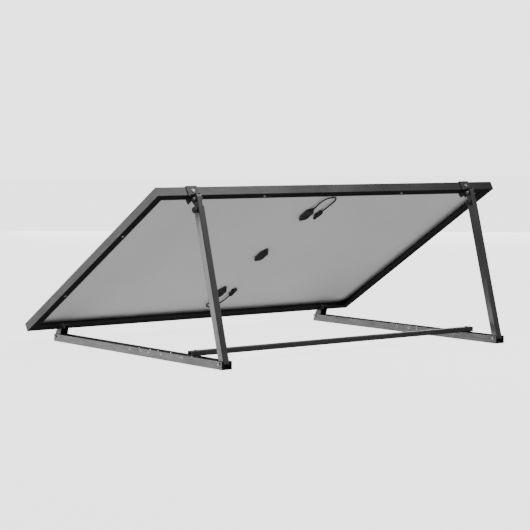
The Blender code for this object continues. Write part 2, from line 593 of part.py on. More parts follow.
def build_leg(side, x):
    """The outer tube turns on the foot bolt, and the inner one slides in it under the knob."""
    foot = empty(f"foot_axis_{side}", (x, FOOT_Y, PIVOT_HEIGHT), TILT / 2)
    half_x, half_y = LEG_WIDTH / 2, LEG_DEPTH / 2
    hole_x, hole_y = half_x - LEG_WALL, half_y - LEG_WALL
    outer = rectangle(-half_x, half_x, -half_y, half_y, LEG_CORNER, 4)
    inner = rectangle(-hole_x, hole_x, -hole_y, hole_y, 0.001, 4)
    leg = tube_prism(f"leg_outer_{side}", "Z", outer, inner, -0.030, LEG_TOP, STAND, foot)
    cut(leg, prism(f"leg_outer_{side}_end", "X", capsule(0, 0.700, half_y), -0.030, 0.030, parent=foot,
                   cutter=True), "INTERSECT")
    drill(leg, "X", (0, 0), SLEEVE_RADIUS + HOLE_PLAY, -0.020, 0.020)
    drill(leg, "X", (0, KNOB_AT), BOLT + HOLE_PLAY, 0, 0.020)
    reach = RAIL_WIDTH / 2 + GAP
    cross_bolt(f"foot_bolt_{side}", -reach, reach, (0, 0), foot, 0)
    inside = RAIL_WIDTH / 2 - RAIL_WALL - GAP
    sleeve = [ring_points("X", 0, r, sides=16) for r in (SLEEVE_RADIUS, BOLT + HOLE_PLAY)]
    outer_ring, inner_ring = [[(b, c) for a, b, c in ring] for ring in sleeve]
    tube_prism(f"foot_sleeve_{side}", "X", outer_ring, inner_ring, -inside, inside, STEEL, foot)

    half_x, half_y = hole_x - SLIDE_CLEARANCE, hole_y - SLIDE_CLEARANCE
    outer = rectangle(-half_x, half_x, -half_y, half_y, 0.0025, 4)
    inner = rectangle(-half_x + INNER_WALL, half_x - INNER_WALL, -half_y + INNER_WALL, half_y - INNER_WALL,
                      0.001, 4)
    slide = tube_prism(f"leg_inner_{side}", "Z", outer, inner, INNER_BOTTOM, INNER_TOP + 0.020, STAND, foot)
    end = capsule(0, INNER_TOP, half_y, round_top=True)
    cut(slide, prism(f"leg_inner_{side}_end", "X", end, -0.030, 0.030, parent=foot, cutter=True),
        "INTERSECT")
    slot_r, slot_half = BOLT + HOLE_PLAY, HEAD_SLOT_LENGTH / 2
    slot = rectangle(-slot_r, slot_r, LEG_LENGTH - slot_half, LEG_LENGTH + slot_half, slot_r * FULL_ROUND, 5)
    cut(slide, prism(f"leg_inner_{side}_slot", "X", slot, -0.030, 0.030, parent=foot, cutter=True))

    build_knob(side, foot)


def build_knob(side, foot):
    """A six-lobed hand knob whose stud presses the inner tube."""
    axis = empty(f"knob_axis_{side}", (0, 0, KNOB_AT), parent=foot)
    base = LEG_WIDTH / 2 + GAP
    loops = []
    stations = ((LEG_WIDTH / 2 - LEG_WALL, BOLT, 0), (base, BOLT, 0), (base, 0.0070, 0),
                (base + 0.003, 0.0070, 0), (base + 0.003, KNOB_RADIUS * 0.93, 1), (base + 0.0045, KNOB_RADIUS, 1),
                (base + KNOB_THICK - 0.002, KNOB_RADIUS, 1), (base + KNOB_THICK, KNOB_RADIUS * 0.86, 1))
    for along, radius, lobed in stations:
        loop = []
        for step in range(24):
            angle = 2 * pi * step / 24
            r = radius * (1 + 0.07 * lobed * cos(6 * angle))
            loop.append((along, r * cos(angle), r * sin(angle)))
        loops.append(loop)
    solid(f"leg_knob_{side}", *stacked(loops), PLASTIC, axis)


build_frame()
build_corner_keys()
build_laminate()
for box_name, box_place in BOX_PLACES.items():
    lead_side = LEAD_SIDES.get(box_name, 0)
    build_junction_box(box_name, box_place, lead_side)
    if lead_side:
        build_lead(box_name, box_place, lead_side)
for stand_side, stand_x in (("left", STAND_X), ("right", -STAND_X)):
    build_rail(stand_side, stand_x)
    build_front_joint(stand_side, stand_x)
    build_top_joint(stand_side, stand_x)
    build_leg(stand_side, stand_x)
build_brace()
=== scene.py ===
"""The looks of a framed half-cut solar module on two tilting ground stands.

Every piece is placed in the module's own axes: x along its long side, y up the slope from the stand's
front pivot, z out of the sun side. The stands and the frame keep their CAD solids and get materials.
The cells, the leads, the connectors, the glands, the bolts and the small trim are made here.
"""

import json
from math import cos, pi, radians, sin

import bmesh
import bpy
from mathutils import Euler, Matrix, Vector


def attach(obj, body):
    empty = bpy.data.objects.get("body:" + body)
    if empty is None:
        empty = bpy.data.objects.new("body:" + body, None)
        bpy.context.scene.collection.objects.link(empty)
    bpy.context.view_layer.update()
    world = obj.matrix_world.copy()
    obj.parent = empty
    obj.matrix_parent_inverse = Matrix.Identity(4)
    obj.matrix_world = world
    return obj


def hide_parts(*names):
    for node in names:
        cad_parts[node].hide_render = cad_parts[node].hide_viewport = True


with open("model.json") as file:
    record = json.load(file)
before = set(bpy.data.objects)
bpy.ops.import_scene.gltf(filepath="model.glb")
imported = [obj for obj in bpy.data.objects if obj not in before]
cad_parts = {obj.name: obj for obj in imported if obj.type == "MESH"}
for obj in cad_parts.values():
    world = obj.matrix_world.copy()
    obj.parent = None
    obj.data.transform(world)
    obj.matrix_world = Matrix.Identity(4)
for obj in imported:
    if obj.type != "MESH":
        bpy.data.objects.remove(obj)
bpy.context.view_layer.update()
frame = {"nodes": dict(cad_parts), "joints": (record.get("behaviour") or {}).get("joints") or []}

# Driving sizes, as in the CAD model
TILT = radians(30.9)
STAND_SIDES = {"left": 0.700, "right": -0.700}
MODULE_WIDTH = 1.134
LOW_EDGE, BACK, GAP = 0.019, 0.0225, 0.0003
HIGH_EDGE = LOW_EDGE + MODULE_WIDTH
LAMINATE_SEAT, SHEET_THICK, CELL_LIFT = 0.0284, 0.0004, 0.00005
FLANGE_THICK, PLATE_THICK = 0.0018, 0.003
SHEET_BACK = BACK + LAMINATE_SEAT + GAP
CELL_BACK = SHEET_BACK + SHEET_THICK + GAP + CELL_LIFT
BOX_LENGTH, BOX_HALF_WIDTH, BOX_DEPTH = 0.073, 0.018, 0.0125
BOX_PLACES = {"upper": 0.9115, "middle": 0.5590, "lower": 0.2134}
PIVOT_REACH = 1.167
RAIL_HALF, CHEEK_OUT = 0.023, 0.0143
FOOT_HOLES = (0.570, 0.648, 0.702, 0.789, 0.930)

# The leads: distances across the slope and out from the gland's nose, in the module's plane
LEAD_DIAMETER = 0.006
LEAD_X, LEAD_Z = -0.002, SHEET_BACK - 0.0090
LEAD_SIDES = {"upper": 1, "lower": -1}
LEAD_ROUTES = {
    "upper": (
        (0.000, 0.000), (0.000, 0.018), (0.001, 0.040), (-0.001, 0.061), (-0.008, 0.079), (-0.021, 0.090),
        (-0.038, 0.093), (-0.054, 0.087), (-0.064, 0.071), (-0.066, 0.050), (-0.065, 0.027), (-0.062, 0.002),
        (-0.0605, -0.023),
    ),
    "lower": (
        (0.000, 0.000), (0.001, 0.018), (0.004, 0.038), (0.005, 0.058), (0.000, 0.075), (-0.012, 0.086),
        (-0.028, 0.088), (-0.043, 0.081), (-0.055, 0.066), (-0.062, 0.047), (-0.066, 0.025), (-0.067, 0.004),
        (-0.067, -0.018),
    ),
}
CONNECTOR_TURNS = {"upper": radians(2), "lower": 0.0}

joint_places = {joint["name"]: Vector(joint["pos_m"]) for joint in frame["joints"] if joint.get("pos_m")}
pivot = joint_places["panel_tilt"]
module = Matrix.Translation((0, pivot.y, pivot.z)) @ Matrix.Rotation(TILT, 4, "X")


# ---------------------------------------------------------------- camera, lights and floor

CAMERA_PLACE, CAMERA_LENS, SENSOR_WIDTH = (4.379, 5.642, 0.815), 116.9, 36
CAMERA_DOWN, CAMERA_TURN = 3.951, 142.61

# Each lamp's place, target, size and power in watts
LAMPS = {
    "window": ((6.2, -7.0, 0.3), (0, 0, 0.2), (5.2, 3.9), 227),
    "far_window": ((-6.0, -7.0, 0.8), (0, 0, 0.2), (6.0, 3.5), 190),
    "overhead": ((-0.9, 2.0, 3.2), (0, 0.3, 0.4), (2.4, 1.6), 66),
}

# The room's light by the height of a direction: two heights, and the strength below and above them
SOFT_ROOM = (-0.8, 0.10, 1.10, 0.24)
MIRRORED_ROOM = (-0.22, -0.04, 0.03, 0.26)
BACKDROP = 2.8
FLOOR_SIZE, FLOOR_DROP, FLOOR_GLOW = 60, 0.0005, 2.5


def look_at(thing, target):
    thing.rotation_euler = (Vector(target) - thing.location).to_track_quat("-Z", "Y").to_euler()


def add_camera():
    camera = bpy.data.objects.new("camera", bpy.data.cameras.new("camera"))
    camera.data.lens = CAMERA_LENS
    camera.data.sensor_width = SENSOR_WIDTH
    camera.location = CAMERA_PLACE
    camera.rotation_euler = Euler((radians(90 - CAMERA_DOWN), 0, radians(CAMERA_TURN)))
    bpy.context.scene.collection.objects.link(camera)
    bpy.context.scene.camera = camera


def add_light(name, place, target, size, watts):
    light = bpy.data.lights.new(name, "AREA")
    light.shape = "RECTANGLE"
    light.size, light.size_y = size
    light.energy = watts
    lamp = bpy.data.objects.new(name, light)
    lamp.location = place
    lamp.visible_camera = False
    look_at(lamp, target)
    bpy.context.scene.collection.objects.link(lamp)


def world_ramp(nodes, links, split, low, high, below, above):
    """The room's brightness by the height of the direction: below under low, and above over high."""
    ramp = nodes.new("ShaderNodeMapRange")
    ramp.inputs["From Min"].default_value, ramp.inputs["From Max"].default_value = low, high
    ramp.inputs["To Min"].default_value, ramp.inputs["To Max"].default_value = below, above
    links.new(split.outputs["Z"], ramp.inputs["Value"])
    return ramp.outputs["Result"]


def add_studio():
    """A pale floor in a pale room, a broad window at each front corner and a soft box above."""
    bpy.ops.mesh.primitive_plane_add(size=FLOOR_SIZE, location=(0, 0, -FLOOR_DROP))
    floor = bpy.context.object
    floor.name = "studio_floor"
    floor.data.materials.append(studio_floor())
    floor.visible_glossy = False
    floor.visible_diffuse = False
    floor.visible_shadow = False
    for name, lamp in LAMPS.items():
        add_light(name, *lamp)
    world = bpy.data.worlds.new("studio")
    world.use_nodes = True
    nodes, links = world.node_tree.nodes, world.node_tree.links
    coordinate = nodes.new("ShaderNodeTexCoord")
    split = nodes.new("ShaderNodeSeparateXYZ")
    links.new(coordinate.outputs["Generated"], split.inputs[0])
    path = nodes.new("ShaderNodeLightPath")
    soft = world_ramp(nodes, links, split, *SOFT_ROOM)
    sharp = world_ramp(nodes, links, split, *MIRRORED_ROOM)
    mirrored = nodes.new("ShaderNodeMix")
    links.new(path.outputs["Is Glossy Ray"], mirrored.inputs["Factor"])
    links.new(soft, mirrored.inputs["A"])
    links.new(sharp, mirrored.inputs["B"])
    seen = nodes.new("ShaderNodeMix")
    seen.inputs["B"].default_value = BACKDROP
    links.new(path.outputs["Is Camera Ray"], seen.inputs["Factor"])
    links.new(mirrored.outputs["Result"], seen.inputs["A"])
    background = nodes["Background"]
    links.new(seen.outputs["Result"], background.inputs["Strength"])
    background.inputs["Color"].default_value = (1, 1, 1, 1)
    bpy.context.scene.world = world


# ---------------------------------------------------------------- materials

# The scales of the noise in the surfaces
DIE_LINES, BLOOM, METAL_GRIT, TURNING_MARKS = 900, 9, 1800, 700
PLASTIC_GRIT, HANDLING_MARKS = 1500, 60
FILM_CLOUD, FILM_PEEL, FILM_WAVE = 2.2, 420, 14
CELL_PATCH, CELL_FINGERS, GLASS_ROLL, FLOOR_CLOUD = 6, 210, 260, 1.5


def shader_nodes(name, colour, roughness, metallic):
    made = bpy.data.materials.new(name)
    made.use_nodes = True
    nodes = made.node_tree.nodes
    shader = nodes["Principled BSDF"]
    shader.inputs["Base Color"].default_value = (*colour, 1)
    shader.inputs["Roughness"].default_value = roughness
    shader.inputs["Metallic"].default_value = metallic
    return made, nodes, made.node_tree.links, shader


def noise(nodes, links, scale, stretch=(1, 1, 1), turn=0.0, detail=3.0):
    """A noise texture in the object's own coordinates, stretched and turned about X."""
    place = nodes.new("ShaderNodeTexCoord")
    mapping = nodes.new("ShaderNodeMapping")
    mapping.vector_type = "TEXTURE"
    mapping.inputs["Rotation"].default_value = (turn, 0, 0)
    mapping.inputs["Scale"].default_value = stretch
    texture = nodes.new("ShaderNodeTexNoise")
    texture.inputs["Scale"].default_value = scale
    texture.inputs["Detail"].default_value = detail
    links.new(place.outputs["Object"], mapping.inputs["Vector"])
    links.new(mapping.outputs["Vector"], texture.inputs["Vector"])
    return texture.outputs["Fac"]


def vary(nodes, links, factor, socket, low, high, edge=(0.3, 0.7)):
    """Drives a number socket between low and high by a texture."""
    ramp = nodes.new("ShaderNodeMapRange")
    ramp.inputs["From Min"].default_value, ramp.inputs["From Max"].default_value = edge
    ramp.inputs["To Min"].default_value = low
    ramp.inputs["To Max"].default_value = high
    links.new(factor, ramp.inputs["Value"])
    links.new(ramp.outputs["Result"], socket)


def tint(nodes, links, factor, socket, dark, light, edge=(0.3, 0.7)):
    """Drives a colour socket between two colours by a texture."""
    ramp = nodes.new("ShaderNodeValToRGB")
    ramp.color_ramp.elements[0].position, ramp.color_ramp.elements[1].position = edge
    ramp.color_ramp.elements[0].color = (*dark, 1)
    ramp.color_ramp.elements[1].color = (*light, 1)
    links.new(factor, ramp.inputs["Fac"])
    links.new(ramp.outputs["Color"], socket)


def bump(nodes, links, shader, factors, strength, distance):
    """Stacks bumps, one for each texture, and leads them to the shader's normal."""
    last = None
    for factor, share in factors:
        node = nodes.new("ShaderNodeBump")
        node.inputs["Strength"].default_value = strength * share
        node.inputs["Distance"].default_value = distance
        links.new(factor, node.inputs["Height"])
        if last:
            links.new(last.outputs["Normal"], node.inputs["Normal"])
        last = node
    links.new(last.outputs["Normal"], shader.inputs["Normal"])


def shade(colour, factor):
    return tuple(channel * factor for channel in colour)


def anodised(name, colour, roughness, metallic, grain, turn=0.0):
    """Extruded and anodised aluminium: die lines along the bar, and a soft uneven bloom."""
    made, nodes, links, shader = shader_nodes(name, colour, roughness, metallic)
    lines = noise(nodes, links, DIE_LINES, grain, turn, 4)
    bloom = noise(nodes, links, BLOOM)
    grit = noise(nodes, links, METAL_GRIT, detail=2)
    tint(nodes, links, bloom, shader.inputs["Base Color"], shade(colour, 0.86), shade(colour, 1.12))
    vary(nodes, links, lines, shader.inputs["Roughness"], roughness - 0.06, roughness + 0.08)
    bump(nodes, links, shader, ((lines, 1.0), (grit, 0.7)), 0.16, 0.00015)
    return made


def moulded(name, colour, roughness, texture_scale=PLASTIC_GRIT, specular=0.5):
    """Moulded black plastic with a fine spark-eroded texture and faint handling marks."""
    made, nodes, links, shader = shader_nodes(name, colour, roughness, 0)
    shader.inputs["Specular IOR Level"].default_value = specular
    grit = noise(nodes, links, texture_scale, detail=3)
    marks = noise(nodes, links, HANDLING_MARKS)
    tint(nodes, links, marks, shader.inputs["Base Color"], shade(colour, 0.8), shade(colour, 1.35))
    vary(nodes, links, marks, shader.inputs["Roughness"], roughness - 0.07, roughness + 0.08)
    bump(nodes, links, shader, ((grit, 1.0),), 0.30, 0.00012)
    return made


def steel(name, colour, roughness, metallic=0.7):
    """Plain stainless fasteners with turning marks."""
    made, nodes, links, shader = shader_nodes(name, colour, roughness, metallic)
    marks = noise(nodes, links, TURNING_MARKS, (1, 1, 4), 0, 4)
    tint(nodes, links, marks, shader.inputs["Base Color"], shade(colour, 0.82), colour)
    vary(nodes, links, marks, shader.inputs["Roughness"], roughness - 0.06, roughness + 0.10)
    bump(nodes, links, shader, ((marks, 1.0),), 0.12, 0.0001)
    return made


def backsheet_film():
    """Pale laminate film: a fine orange peel, a slow waviness and slight clouding."""
    colour = (0.60, 0.60, 0.605)
    made, nodes, links, shader = shader_nodes("backsheet_film", colour, 0.42, 0)
    cloud = noise(nodes, links, FILM_CLOUD, detail=4)
    peel = noise(nodes, links, FILM_PEEL, detail=2)
    wave = noise(nodes, links, FILM_WAVE, (1, 3, 3), TILT, 2)
    tint(nodes, links, cloud, shader.inputs["Base Color"], shade(colour, 0.955), shade(colour, 1.035))
    vary(nodes, links, peel, shader.inputs["Roughness"], 0.36, 0.48)
    bump(nodes, links, shader, ((peel, 0.5), (wave, 1.0)), 0.10, 0.0006)
    return made


def cell_silicon():
    """Blue-black cells: fine silver fingers across the ribbons, and a slight change from cell to cell."""
    made, nodes, links, shader = shader_nodes("cell_silicon", (0.010, 0.013, 0.028), 0.22, 0.0)
    place = nodes.new("ShaderNodeTexCoord")
    fingers = nodes.new("ShaderNodeTexWave")
    fingers.wave_type = "BANDS"
    fingers.bands_direction = "X"
    fingers.inputs["Scale"].default_value = CELL_FINGERS
    links.new(place.outputs["Object"], fingers.inputs["Vector"])
    patch = noise(nodes, links, CELL_PATCH, detail=1)
    base = nodes.new("ShaderNodeValToRGB")
    base.color_ramp.elements[0].color = (0.004, 0.007, 0.020, 1)
    base.color_ramp.elements[1].color = (0.006, 0.010, 0.030, 1)
    links.new(patch, base.inputs["Fac"])
    lines = nodes.new("ShaderNodeValToRGB")
    lines.color_ramp.elements[0].position = 0.93
    lines.color_ramp.elements[1].position = 0.99
    lines.color_ramp.elements[1].color = (0.05, 0.05, 0.055, 1)
    links.new(fingers.outputs["Fac"], lines.inputs["Fac"])
    join = nodes.new("ShaderNodeMix")
    join.data_type = "RGBA"
    join.blend_type = "ADD"
    join.inputs["Factor"].default_value = 1
    links.new(base.outputs["Color"], join.inputs["A"])
    links.new(lines.outputs["Color"], join.inputs["B"])
    links.new(join.outputs["Result"], shader.inputs["Base Color"])
    vary(nodes, links, patch, shader.inputs["Roughness"], 0.24, 0.30)
    return made


def solar_glass():
    """Tempered glass with a faint rolled texture."""
    made, nodes, links, shader = shader_nodes("solar_glass", (0.96, 0.98, 0.98), 0.05, 0)
    shader.inputs["Transmission Weight"].default_value = 1
    shader.inputs["IOR"].default_value = 1.5
    rolled = noise(nodes, links, GLASS_ROLL, detail=1)
    vary(nodes, links, rolled, shader.inputs["Roughness"], 0.03, 0.05)
    bump(nodes, links, shader, ((rolled, 1.0),), 0.015, 0.0001)
    return made


def studio_floor():
    """A pale floor with a light of its own, so that it stays pale and takes only soft shadows."""
    made, nodes, links, shader = shader_nodes("studio_floor", (0.61, 0.61, 0.61), 0.9, 0)
    cloud = noise(nodes, links, FLOOR_CLOUD)
    tint(nodes, links, cloud, shader.inputs["Base Color"], (0.60,) * 3, (0.62,) * 3)
    shader.inputs["Emission Color"].default_value = (1, 1, 1, 1)
    shader.inputs["Emission Strength"].default_value = FLOOR_GLOW
    return made


ALONG_X, ALONG_Y, ALONG_Z = (60, 1, 1), (1, 60, 1), (1, 1, 60)
FRAME_BLACK = (0.056, 0.056, 0.058)
STAND_GREY = (0.150, 0.150, 0.153)
M = {
    "frame_x": anodised("frame_anodised_long", FRAME_BLACK, 0.40, 0.85, ALONG_X),
    # The frame's ends: the long sides' black anodising made 15% lighter, as painted light on the end walls
    "frame_y_painted_light": anodised("frame_anodised_end_painted_light", shade(FRAME_BLACK, 1.15), 0.40, 0.85, ALONG_Y, TILT),
    "rail": anodised("rail_anodised", shade(STAND_GREY, 0.93), 0.38, 0.9, ALONG_Y),
    "brace": anodised("brace_anodised", shade(STAND_GREY, 0.95), 0.42, 0.9, ALONG_X),
    "leg": anodised("leg_anodised", shade(STAND_GREY, 0.95), 0.36, 0.9, ALONG_Z, TILT / 2),
    # The inner legs: the legs' grey made a little lighter, as painted light against the shade under the top
    # brackets
    "inner_leg": anodised("inner_leg_anodised_painted_light", STAND_GREY, 0.38, 0.9, ALONG_Z, TILT / 2),
    "bracket": anodised("bracket_anodised", shade(STAND_GREY, 0.46), 0.5, 0.85, (1, 1, 1), TILT),
    "front_bracket": anodised("front_bracket_anodised", shade(STAND_GREY, 0.95), 0.5, 0.85, (1, 1, 1), TILT),
    "key": anodised("key_mill_aluminium", (0.55, 0.55, 0.56), 0.40, 1.0, ALONG_X),
    "sheet": backsheet_film(),
    "seal": moulded("silicone_seal", (0.05, 0.05, 0.05), 0.6, 300),
    "bead": moulded("silicone_bead", (0.40, 0.40, 0.40), 0.5, 400),
    "plastic": moulded("black_plastic", (0.026, 0.026, 0.0265), 0.45),
    "end_plug": moulded("end_plug_plastic", (0.006, 0.006, 0.0065), 0.75, specular=0.15),
    "lid": moulded("lid_plastic", (0.029, 0.029, 0.0295), 0.52, 1100),
    "jacket": moulded("cable_jacket", (0.014, 0.014, 0.0145), 0.5, 900),
    "rubber": moulded("seal_rubber", (0.020, 0.020, 0.020), 0.7, 700),
    "diode": steel("tinned_leads", (0.55, 0.50, 0.44), 0.4),
    "steel": steel("stainless_steel", (0.50, 0.50, 0.51), 0.34),
    "cut": steel("cut_aluminium", (0.78, 0.78, 0.79), 0.45),
    "ribbon": steel("tinned_ribbon", (0.62, 0.62, 0.64), 0.35),
    "silicon": cell_silicon(),
    "glass": solar_glass(),
}


# ---------------------------------------------------------------- making pieces

def piece(name, points, faces, material, body, place=None, slot=None, smooth=35):
    """A mesh that rides on a body. Its points are in the frame that place gives, or else in the world's."""
    place = place or Matrix.Identity(4)
    mesh = bpy.data.meshes.new(name)
    mesh.from_pydata([place @ Vector(p) for p in points], [], faces)
    shape = bmesh.new()
    shape.from_mesh(mesh)
    bmesh.ops.recalc_face_normals(shape, faces=shape.faces)
    shape.to_mesh(mesh)
    shape.free()
    mesh.shade_smooth()
    mesh.set_sharp_from_angle(angle=radians(smooth))
    mesh.materials.append(material)
    made = bpy.data.objects.new(name, mesh)
    bpy.context.scene.collection.objects.link(made)
    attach(made, body)
    return made


def stacked(loops):
    """Points and faces of a closed body through loops that all have the same number of points."""
    count = len(loops[0])
    points = [p for loop in loops for p in loop]
    faces = [tuple(range(count)), tuple(range(len(points) - count, len(points)))]
    for i in range(len(loops) - 1):
        for j in range(count):
            k = (j + 1) % count
            faces.append((i * count + j, i * count + k, (i + 1) * count + k, (i + 1) * count + j))
    return points, faces


def ring_body(loops):
    """A closed ring through loops, the last of which joins the first."""
    count = len(loops[0])
    points = [p for loop in loops for p in loop]
    faces = []
    for i in range(len(loops)):
        n = (i + 1) % len(loops)
        for j in range(count):
            k = (j + 1) % count
            faces.append((i * count + j, i * count + k, n * count + k, n * count + j))
    return points, faces


def merged(bodies):
    """Several bodies' points and faces as one."""
    points, faces = [], []
    for some_points, some_faces in bodies:
        start = len(points)
        points += some_points
        faces += [tuple(start + i for i in face) for face in some_faces]
    return points, faces


def round_loop(height, radius, sides=32, flat=0.0, lobes=0, depth=0.0):
    """A ring about Z. flat limits it to a hexagon with that corner radius, and lobes ripple it."""
    loop = []
    for step in range(sides):
        angle = 2 * pi * step / sides
        r = radius * (1 + depth * cos(lobes * angle))
        if flat:
            r = min(r, flat * cos(pi / 6) / cos(angle % (pi / 3) - pi / 6))
        loop.append((r * cos(angle), r * sin(angle), height))
    return loop


def slab(outline, low, high, bevel=0.0):
    """An outline drawn out along Z, with the edge of its upper face drawn in by bevel."""
    loops = [[(*p, low) for p in outline], [(*p, high - bevel) for p in outline]]
    if bevel:
        centre = sum((Vector(p) for p in outline), Vector((0, 0))) / len(outline)
        inner = []
        for p in outline:
            away = Vector(p) - centre
            inner.append((*(Vector(p) - away.normalized() * bevel), high))
        loops.append(inner)
    return stacked(loops)


def rectangle(low_a, high_a, low_b, high_b):
    return [(low_a, low_b), (high_a, low_b), (high_a, high_b), (low_a, high_b)]


def along(place, axis, turn=0.0):
    """The frame whose Z points along an axis of the given one, at a point in it."""
    tips = {"X": Matrix.Rotation(pi / 2, 4, "Y"), "Y": Matrix.Rotation(-pi / 2, 4, "X"), "Z": Matrix()}
    return Matrix.Translation(place) @ tips[axis] @ Matrix.Rotation(turn, 4, "Z")


# ---------------------------------------------------------------- leads

ROUTE_STEPS, LEAD_BEVEL = 6, 5
KNURLS = 16
GLAND_LENGTH, GLAND_RADIUS = 0.012, 0.0065
CONNECTOR_LENGTH, CONNECTOR_RADIUS = 0.058, 0.0088

# Turned profiles: heights from the root, and shares of the piece's radius
GLAND_ROOT = ((0, 0.96), (0.0006, 1))
GLAND_NUT, GLAND_KNURL = (0.0010, 0.0052), 0.035
GLAND_SHOULDER = ((0.0056, 0.97), (0.0062, 0.86))
GLAND_NOSE = ((0.0080, 0.83), (0.0095, 0.78), (0.0108, 0.70), (GLAND_LENGTH, 0.60))
PLUG_ROOT = ((0, 0.50), (0.0006, 0.62), (0.003, 0.74), (0.006, 0.88), (0.0068, 0.96))
PLUG_NUT, PLUG_NUT_SHARE, PLUG_KNURL = (0.0076, 0.0196), 0.96, 0.04
PLUG_TAIL = (
    (0.0206, 0.94), (0.0212, 0.86), (0.0224, 0.86), (0.0230, 0.94), (0.0300, 0.93), (0.0308, 0.86),
    (0.0420, 0.85), (0.0428, 0.80), (0.0480, 0.78), (0.0545, 0.76), (0.0570, 0.72), (CONNECTOR_LENGTH, 0.64),
)
PLUG_SEAL = ((0.0500, 0.72), (0.0506, 0.80), (0.0514, 0.82), (0.0522, 0.80), (0.0528, 0.72))

# Each latch's two heights, and its near and far side as shares of the plug's radius
PLUG_LATCHES = ((0.0242, 0.0302, 0.86, 1.04), (0.0430, 0.0485, 0.74, 0.92))
LATCH_HALF, LATCH_BEVEL = 0.0024, 0.0005


def smooth_route(points, steps):
    """Points on a Catmull-Rom curve through the given ones."""
    fine = []
    padded = [2 * points[0] - points[1], *points, 2 * points[-1] - points[-2]]
    for a, b, c, d in zip(padded, padded[1:], padded[2:], padded[3:]):
        for step in range(steps):
            t = step / steps
            fine.append(0.5 * (2 * b + (c - a) * t + (2 * a - 5 * b + 4 * c - d) * t * t
                               + (3 * b - a - 3 * c + d) * t ** 3))
    return [*fine, points[-1]]


def add_lead(name, away):
    """The lead from its gland to its connector, all three remade with their real detail."""
    wall = LOW_EDGE + BOX_PLACES[name] + away * (BOX_LENGTH / 2 + GAP)
    start = wall + away * (GLAND_LENGTH + GAP)
    route = [Vector((LEAD_X + across, start + away * out, LEAD_Z)) for across, out in LEAD_ROUTES[name]]
    curve = bpy.data.curves.new(f"cable_{name}", "CURVE")
    curve.dimensions = "3D"
    curve.bevel_depth = LEAD_DIAMETER / 2
    curve.bevel_resolution = LEAD_BEVEL
    curve.use_fill_caps = True
    spline = curve.splines.new("POLY")
    points = smooth_route(route, ROUTE_STEPS)
    spline.points.add(len(points) - 1)
    for point, at in zip(spline.points, points):
        point.co = (*(module @ at), 1)
    spline.use_smooth = True
    curve.materials.append(M["jacket"])
    cable = bpy.data.objects.new(f"cable_{name}", curve)
    bpy.context.scene.collection.objects.link(cable)
    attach(cable, "panel")
    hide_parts(f"lead_{name}")
    gland = add_gland(name, wall, away)
    plug = add_connector(name, route[-1], away)


def add_gland(name, wall, away):
    """A ribbed nut and the tapered nose that holds the lead."""
    r = GLAND_RADIUS
    loops = [round_loop(height, r * share) for height, share in GLAND_ROOT]
    loops += [round_loop(height, r, lobes=KNURLS, depth=GLAND_KNURL) for height in GLAND_NUT]
    loops += [round_loop(height, r * share) for height, share in (*GLAND_SHOULDER, *GLAND_NOSE)]
    place = module @ along((LEAD_X, wall, LEAD_Z), "Y") @ Matrix.Rotation(0 if away > 0 else pi, 4, "X")
    made = piece(f"gland_{name}", *stacked(loops), M["plastic"], "panel", place, "box")
    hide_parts(f"lead_gland_{name}")
    return made


def add_connector(name, end, away):
    """The lead's plug: a ribbed cap nut, a body with two latches, a sealing ring and a bare nose."""
    turn = Matrix.Rotation(CONNECTOR_TURNS[name] + (0 if away > 0 else pi), 4, "Z")
    place = module @ Matrix.Translation(end) @ turn @ along((0, -GAP, 0), "Y") @ Matrix.Rotation(pi, 4, "X")
    r = CONNECTOR_RADIUS
    loops = [round_loop(height, r * share) for height, share in PLUG_ROOT]
    loops += [round_loop(height, r * PLUG_NUT_SHARE, lobes=KNURLS, depth=PLUG_KNURL) for height in PLUG_NUT]
    loops += [round_loop(height, r * share) for height, share in PLUG_TAIL]
    shell = piece(f"plug_{name}", *stacked(loops), M["plastic"], "panel", place, "box")
    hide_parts(f"connector_{name}")
    latches = []
    for side in (-1, 1):
        for low, high, near, far in PLUG_LATCHES:
            a, b = sorted((side * r * near, side * r * far))
            latches.append(slab(rectangle(a, b, -LATCH_HALF, LATCH_HALF), low, high, LATCH_BEVEL))
    ears = piece(f"plug_latches_{name}", *merged(latches), M["plastic"], "panel", place, "box")
    ring = [round_loop(height, r * share) for height, share in PLUG_SEAL]
    seal = piece(f"plug_seal_{name}", *stacked(ring), M["rubber"], "panel", place, "seal")
    return [shell, ears, seal]


# ---------------------------------------------------------------- cells

CELL_LONG, CELL_SHORT, CELL_THICK = 0.182, 0.091, 0.00016
CELL_GAP_Y, CELL_GAP_X, MIDDLE_GAP = 0.0022, 0.0016, 0.0120
ROWS, HALF_COLUMNS, WIRES = 6, 9, 10
CELL_CORNER = 0.0030
RIBBON_WIDTH, RIBBON_THICK, BUS_WIDTH = 0.0009, 0.00010, 0.0050
INNER_TAIL, OUTER_TAIL, MIDDLE_BUS_X = 0.002, 0.003, -0.0001


def row_centres():
    step = CELL_LONG + CELL_GAP_Y
    middle = (LOW_EDGE + HIGH_EDGE) / 2
    return [middle + (row - (ROWS - 1) / 2) * step for row in range(ROWS)]


def half_span():
    """The two ends of the cells on one side of the middle gap."""
    return MIDDLE_GAP / 2, MIDDLE_GAP / 2 + HALF_COLUMNS * CELL_SHORT + (HALF_COLUMNS - 1) * CELL_GAP_X


def cell_outline(x, y, side):
    """Half a cell: two cut corners on the side that was the whole cell's edge."""
    a, b, c = CELL_SHORT / 2, CELL_LONG / 2, CELL_CORNER
    corners = [(-a, -b), (a - c, -b), (a, c - b), (a, b - c), (a - c, b), (-a, b)]
    return [(x + side * u, y + v) for u, v in corners]


